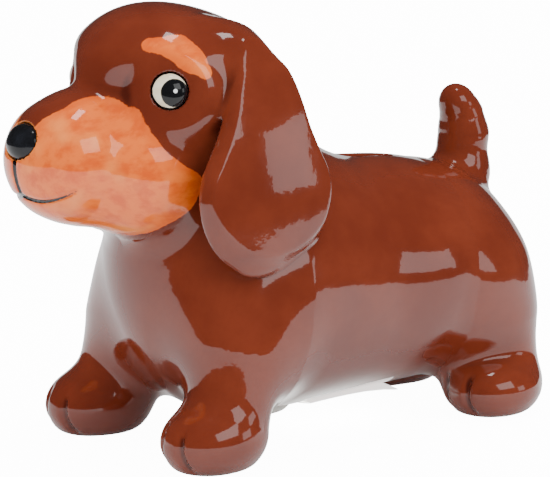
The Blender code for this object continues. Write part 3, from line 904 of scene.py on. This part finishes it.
# %% The glaze materials
SPECULAR_LEVEL = 0.15
COAT_ROUGHNESS = 0.03
CHESTNUT = (0.172, 0.0300, 0.0130)
CHESTNUT_DEEP = (0.128, 0.0205, 0.0092)
# Near-black brown for the creases: pooled glaze together with painted shade.
CREASE_DARK = (0.040, 0.0050, 0.0026)
THINNED = (0.28, 0.075, 0.036)
BISQUE = (0.74, 0.64, 0.52)
TAN = (0.86, 0.165, 0.022)
TAN_DEEP = (0.70, 0.095, 0.009)
TAN_PALE = (0.93, 0.270, 0.060)
BLACK = (0.006, 0.006, 0.007)
BLUE_BLACK = (0.012, 0.013, 0.017)
EYE_CREAM = (0.88, 0.80, 0.62)
EYE_SHADE = (0.78, 0.66, 0.46)
GLINT_WHITE = (0.95, 0.95, 0.95)
VINYL = (0.72, 0.71, 0.66)
VINYL_HAZE = (0.64, 0.62, 0.55)
PAPER = (0.86, 0.86, 0.84)
PAPER_FIBRE = (0.76, 0.75, 0.71)


def glaze_material(name):
    """A material with the firing group wired to everything but its base colour."""
    material = bpy.data.materials.new(name)
    material.use_nodes = True
    tree = material.node_tree
    shader = tree.nodes["Principled BSDF"]
    fired = node(tree, "Group", node_tree=firing).outputs
    bare = fired["Bare"]
    tree.links.new(math_of(tree, "MULTIPLY_ADD", bare, 0.72, 0.12), shader.inputs["Roughness"])
    tree.links.new(math_of(tree, "SUBTRACT", 1.0, bare), shader.inputs["Coat Weight"])
    shader.inputs["Coat Roughness"].default_value = COAT_ROUGHNESS
    shader.inputs["Coat IOR"].default_value = 1.52
    shader.inputs["Specular IOR Level"].default_value = SPECULAR_LEVEL
    bump = node(tree, "Bump", {"Height": fired["Ripple"], "Strength": 0.10, "Distance": 0.0012})
    tree.links.new(bump.outputs["Normal"], shader.inputs["Normal"])
    tree.links.new(bump.outputs["Normal"], shader.inputs["Coat Normal"])
    return material, tree, shader, fired


def brown_of(tree, fired):
    """Chestnut underglaze: drifting tone, faint strokes, paler where thin, and darker in creases, for pooled
    glaze and as painted shade.
    """
    colour = blend(tree, fired["Tone"], CHESTNUT_DEEP, CHESTNUT)
    colour = blend(tree, math_of(tree, "MULTIPLY", fired["Strokes"], 0.22), colour, CHESTNUT_DEEP)
    colour = blend(tree, math_of(tree, "MULTIPLY", fired["Thin"], 0.30), colour, THINNED)
    return blend(tree, math_of(tree, "MULTIPLY", fired["Crease Dark"], 0.75), colour, CREASE_DARK)


body_glaze, tree, shader, fired = glaze_material("chestnut glaze on the body")
tree.links.new(blend(tree, fired["Bare"], brown_of(tree, fired), BISQUE), shader.inputs["Base Color"])

face_glaze, tree, shader, fired = glaze_material("chestnut and tan glaze on the head")
place = node(tree, "TexCoord").outputs["Object"]
brush = noise_of(tree, stretched(tree, place, (500.0, 160.0, 420.0)), 1.0, 4.0, 0.65)
wobble = node(tree, "MapRange", {"Value": brush, "From Min": 0.3, "From Max": 0.7,
                                 "To Min": -0.3, "To Max": 0.3})
to_edge = math_of(tree, "ADD", kept(tree, "tan"), wobble.outputs["Result"])
tan_share = ramp_of(tree, to_edge, 0.22, -0.22)
lap = ramp_of(tree, to_edge, -4.0, -0.4)
strokes = noise_of(tree, stretched(tree, place, (260.0, 90.0, 200.0)), 1.0, 5.0, 0.6)
tan = blend(tree, ramp_of(tree, strokes, 0.40, 0.66), TAN, TAN_DEEP)
tan = blend(tree, ramp_of(tree, noise_of(tree, place, 55.0, 2.0), 0.50, 0.75), tan, TAN_PALE)
tan = blend(tree, math_of(tree, "MULTIPLY", lap, 0.55), tan, TAN_DEEP)
# The tan is darkened in creases too: pooled glaze together with painted shade.
tan = blend(tree, math_of(tree, "MULTIPLY", fired["Crease Dark"], 0.6), tan, TAN_DEEP)
colour = blend(tree, tan_share, brown_of(tree, fired), tan)
halo = math_of(tree, "MULTIPLY", ramp_of(tree, kept(tree, "nose"), 1.15, 0.55), 0.8)
colour = blend(tree, halo, colour, TAN_PALE)
sideways = math_of(tree, "ABSOLUTE", node(tree, "SeparateXYZ", {"Vector": place}).outputs["X"])
taper = node(tree, "MapRange", {"Value": sideways, "From Min": 0.001, "From Max": 0.0185,
                                "To Min": 1.05, "To Max": 0.12})
line = math_of(tree, "SUBTRACT", kept(tree, "mouth"), taper.outputs["Result"])
colour = blend(tree, ramp_of(tree, line, 0.10, -0.10), colour, BLACK)
tree.links.new(blend(tree, fired["Bare"], colour, BISQUE), shader.inputs["Base Color"])

for name, piece in glazed.items():
    piece.data.materials.append(face_glaze if name == "head_shell" else body_glaze)
print("glazes:", body_glaze.name, "and", face_glaze.name)

# %% Black glaze, painted eyes, vinyl and paper
def plain_material(name, roughness, coat=0.0):
    material = bpy.data.materials.new(name)
    material.use_nodes = True
    shader = material.node_tree.nodes["Principled BSDF"]
    shader.inputs["Roughness"].default_value = roughness
    shader.inputs["Coat Weight"].default_value = coat
    shader.inputs["Coat Roughness"].default_value = COAT_ROUGHNESS
    shader.inputs["Specular IOR Level"].default_value = SPECULAR_LEVEL
    return material, material.node_tree, shader


nose_glaze, tree, shader = plain_material("black glaze", 0.16, 0.45)
place = node(tree, "TexCoord").outputs["Object"]
cloud = ramp_of(tree, noise_of(tree, place, 160.0, 3.0), 0.35, 0.75)
tree.links.new(blend(tree, cloud, BLACK, BLUE_BLACK), shader.inputs["Base Color"])
nose.data.materials.append(nose_glaze)

eye_glaze, tree, shader = plain_material("painted eye", 0.12, 0.6)
place = node(tree, "TexCoord").outputs["Object"]
shake = node(tree, "MapRange", {"Value": noise_of(tree, place, 420.0, 2.0),
                                "To Min": -0.22, "To Max": 0.22})
rim = math_of(tree, "ADD", kept(tree, "rim"), shake.outputs["Result"])
pupil = math_of(tree, "ADD", kept(tree, "pupil"), shake.outputs["Result"])
cream = ramp_of(tree, noise_of(tree, place, 300.0, 3.0), 0.35, 0.7)
white = blend(tree, cream, EYE_CREAM, EYE_SHADE)
colour = blend(tree, ramp_of(tree, rim, 5.75, 5.95), white, BLACK)
colour = blend(tree, ramp_of(tree, pupil, 4.9, 4.7), colour, BLACK)
glint = ramp_of(tree, kept(tree, "glint"), 0.80, 0.62)
tree.links.new(blend(tree, glint, colour, GLINT_WHITE), shader.inputs["Base Color"])
for eye in eyes:
    eye.data.materials.append(eye_glaze)

vinyl, tree, shader = plain_material("soft vinyl", 0.4)
place = node(tree, "TexCoord").outputs["Object"]
haze = ramp_of(tree, noise_of(tree, place, 120.0, 3.0), 0.3, 0.75)
tree.links.new(blend(tree, haze, VINYL, VINYL_HAZE), shader.inputs["Base Color"])
shader.inputs["Subsurface Weight"].default_value = 0.25
shader.inputs["Subsurface Radius"].default_value = (0.004, 0.0035, 0.003)
shader.inputs["Subsurface Scale"].default_value = 1.0
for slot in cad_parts["stopper"].material_slots:
    slot.material = vinyl

paper_coat, tree, shader = plain_material("coated paper", 0.55)
place = node(tree, "TexCoord").outputs["Object"]
fibre = noise_of(tree, stretched(tree, place, (2200.0, 500.0, 800.0)), 1.0, 4.0, 0.6)
tree.links.new(blend(tree, ramp_of(tree, fibre, 0.35, 0.7), PAPER, PAPER_FIBRE), shader.inputs["Base Color"])
bump = node(tree, "Bump", {"Height": fibre, "Strength": 0.25, "Distance": 0.0001})
tree.links.new(bump.outputs["Normal"], shader.inputs["Normal"])
# A little light of its own keeps the sheet white in the belly's shade.
PAPER_GLOW = 1.6
shader.inputs["Emission Color"].default_value = (1.0, 1.0, 0.97, 1.0)
shader.inputs["Emission Strength"].default_value = PAPER_GLOW
label.data.materials.append(paper_coat)
print("small pieces have their materials")

# %% [markdown]
# ## Studio
#
# A white table and soft panels. The lit table shows in the lower half of every glossy member,
# and the room, nearly dark to the glaze, shows in the upper half. The table and the air also
# glow for the camera's own rays, so both read as plain white and light nothing by it. The
# backdrop is a low panel beyond the dog that pales the members' far edges, out of the camera's
# sight.

# %% Table, room and soft panels
CAMERA_GLOW = 13.0
ROOM_LIGHT = 1.45
ROOM_IN_GLAZE = 0.04
mesh = bpy.data.meshes.new("table")
corners = ((-0.9, -0.9), (0.42, -0.9), (0.42, 0.9), (-0.9, 0.9))
mesh.from_pydata([(x, y, 0) for x, y in corners], [], [(0, 1, 2, 3)])
table = bpy.data.objects.new("table", mesh)
bpy.context.scene.collection.objects.link(table)
table_paper, tree, shader = plain_material("white table", 0.7)
place = node(tree, "TexCoord").outputs["Object"]
grain = ramp_of(tree, noise_of(tree, place, 3.0, 2.0), 0.2, 0.8)
tree.links.new(blend(tree, grain, (0.90, 0.90, 0.90), (0.88, 0.88, 0.88)), shader.inputs["Base Color"])
shader.inputs["Emission Color"].default_value = (1.0, 1.0, 1.0, 1.0)
seen = node(tree, "LightPath").outputs
glow = math_of(tree, "MULTIPLY", seen["Is Camera Ray"], CAMERA_GLOW)
tree.links.new(glow, shader.inputs["Emission Strength"])
mesh.materials.append(table_paper)

room = bpy.data.worlds.new("room")
bpy.context.scene.world = room
room.use_nodes = True
tree = room.node_tree
seen = node(tree, "LightPath").outputs
air = tree.nodes["Background"]
air.inputs["Color"].default_value = (1.0, 1.0, 1.0, 1.0)
open_air = math_of(tree, "MULTIPLY_ADD", seen["Is Camera Ray"], CAMERA_GLOW, ROOM_LIGHT)
strength = math_of(tree, "MULTIPLY_ADD", seen["Is Glossy Ray"], ROOM_IN_GLAZE - ROOM_LIGHT, open_air)
tree.links.new(strength, air.inputs["Strength"])


def panel(name, place, width, height, energy, aim=(0.0, 0.0, 0.07)):
    """A soft panel that faces the dog."""
    light = bpy.data.objects.new(name, bpy.data.lights.new(name, "AREA"))
    light.data.shape = "RECTANGLE"
    light.data.size = width
    light.data.size_y = height
    light.data.energy = energy
    light.location = place
    light.rotation_euler = (Vector(place) - Vector(aim)).to_track_quat("Z", "Y").to_euler()
    bpy.context.scene.collection.objects.link(light)
    return light


overhead = panel("overhead", (0.1, 0.0, 1.5), 1.6, 1.6, 10.0)
overhead.visible_glossy = False
panel("window behind the camera", (1.17, 1.00, 0.29), 0.40, 0.40, 1.0)
panel("window beside the camera", (1.2, 0.20, 0.75), 0.80, 0.60, 4.2)
panel("lamp overhead", (0.15, 0.10, 1.3), 0.25, 0.20, 1.2)
backdrop = panel("lit backdrop", (-1.3, 1.0, 0.10), 2.2, 0.42, 2.6)
backdrop.visible_camera = False

# %% End
print("the scene is built")
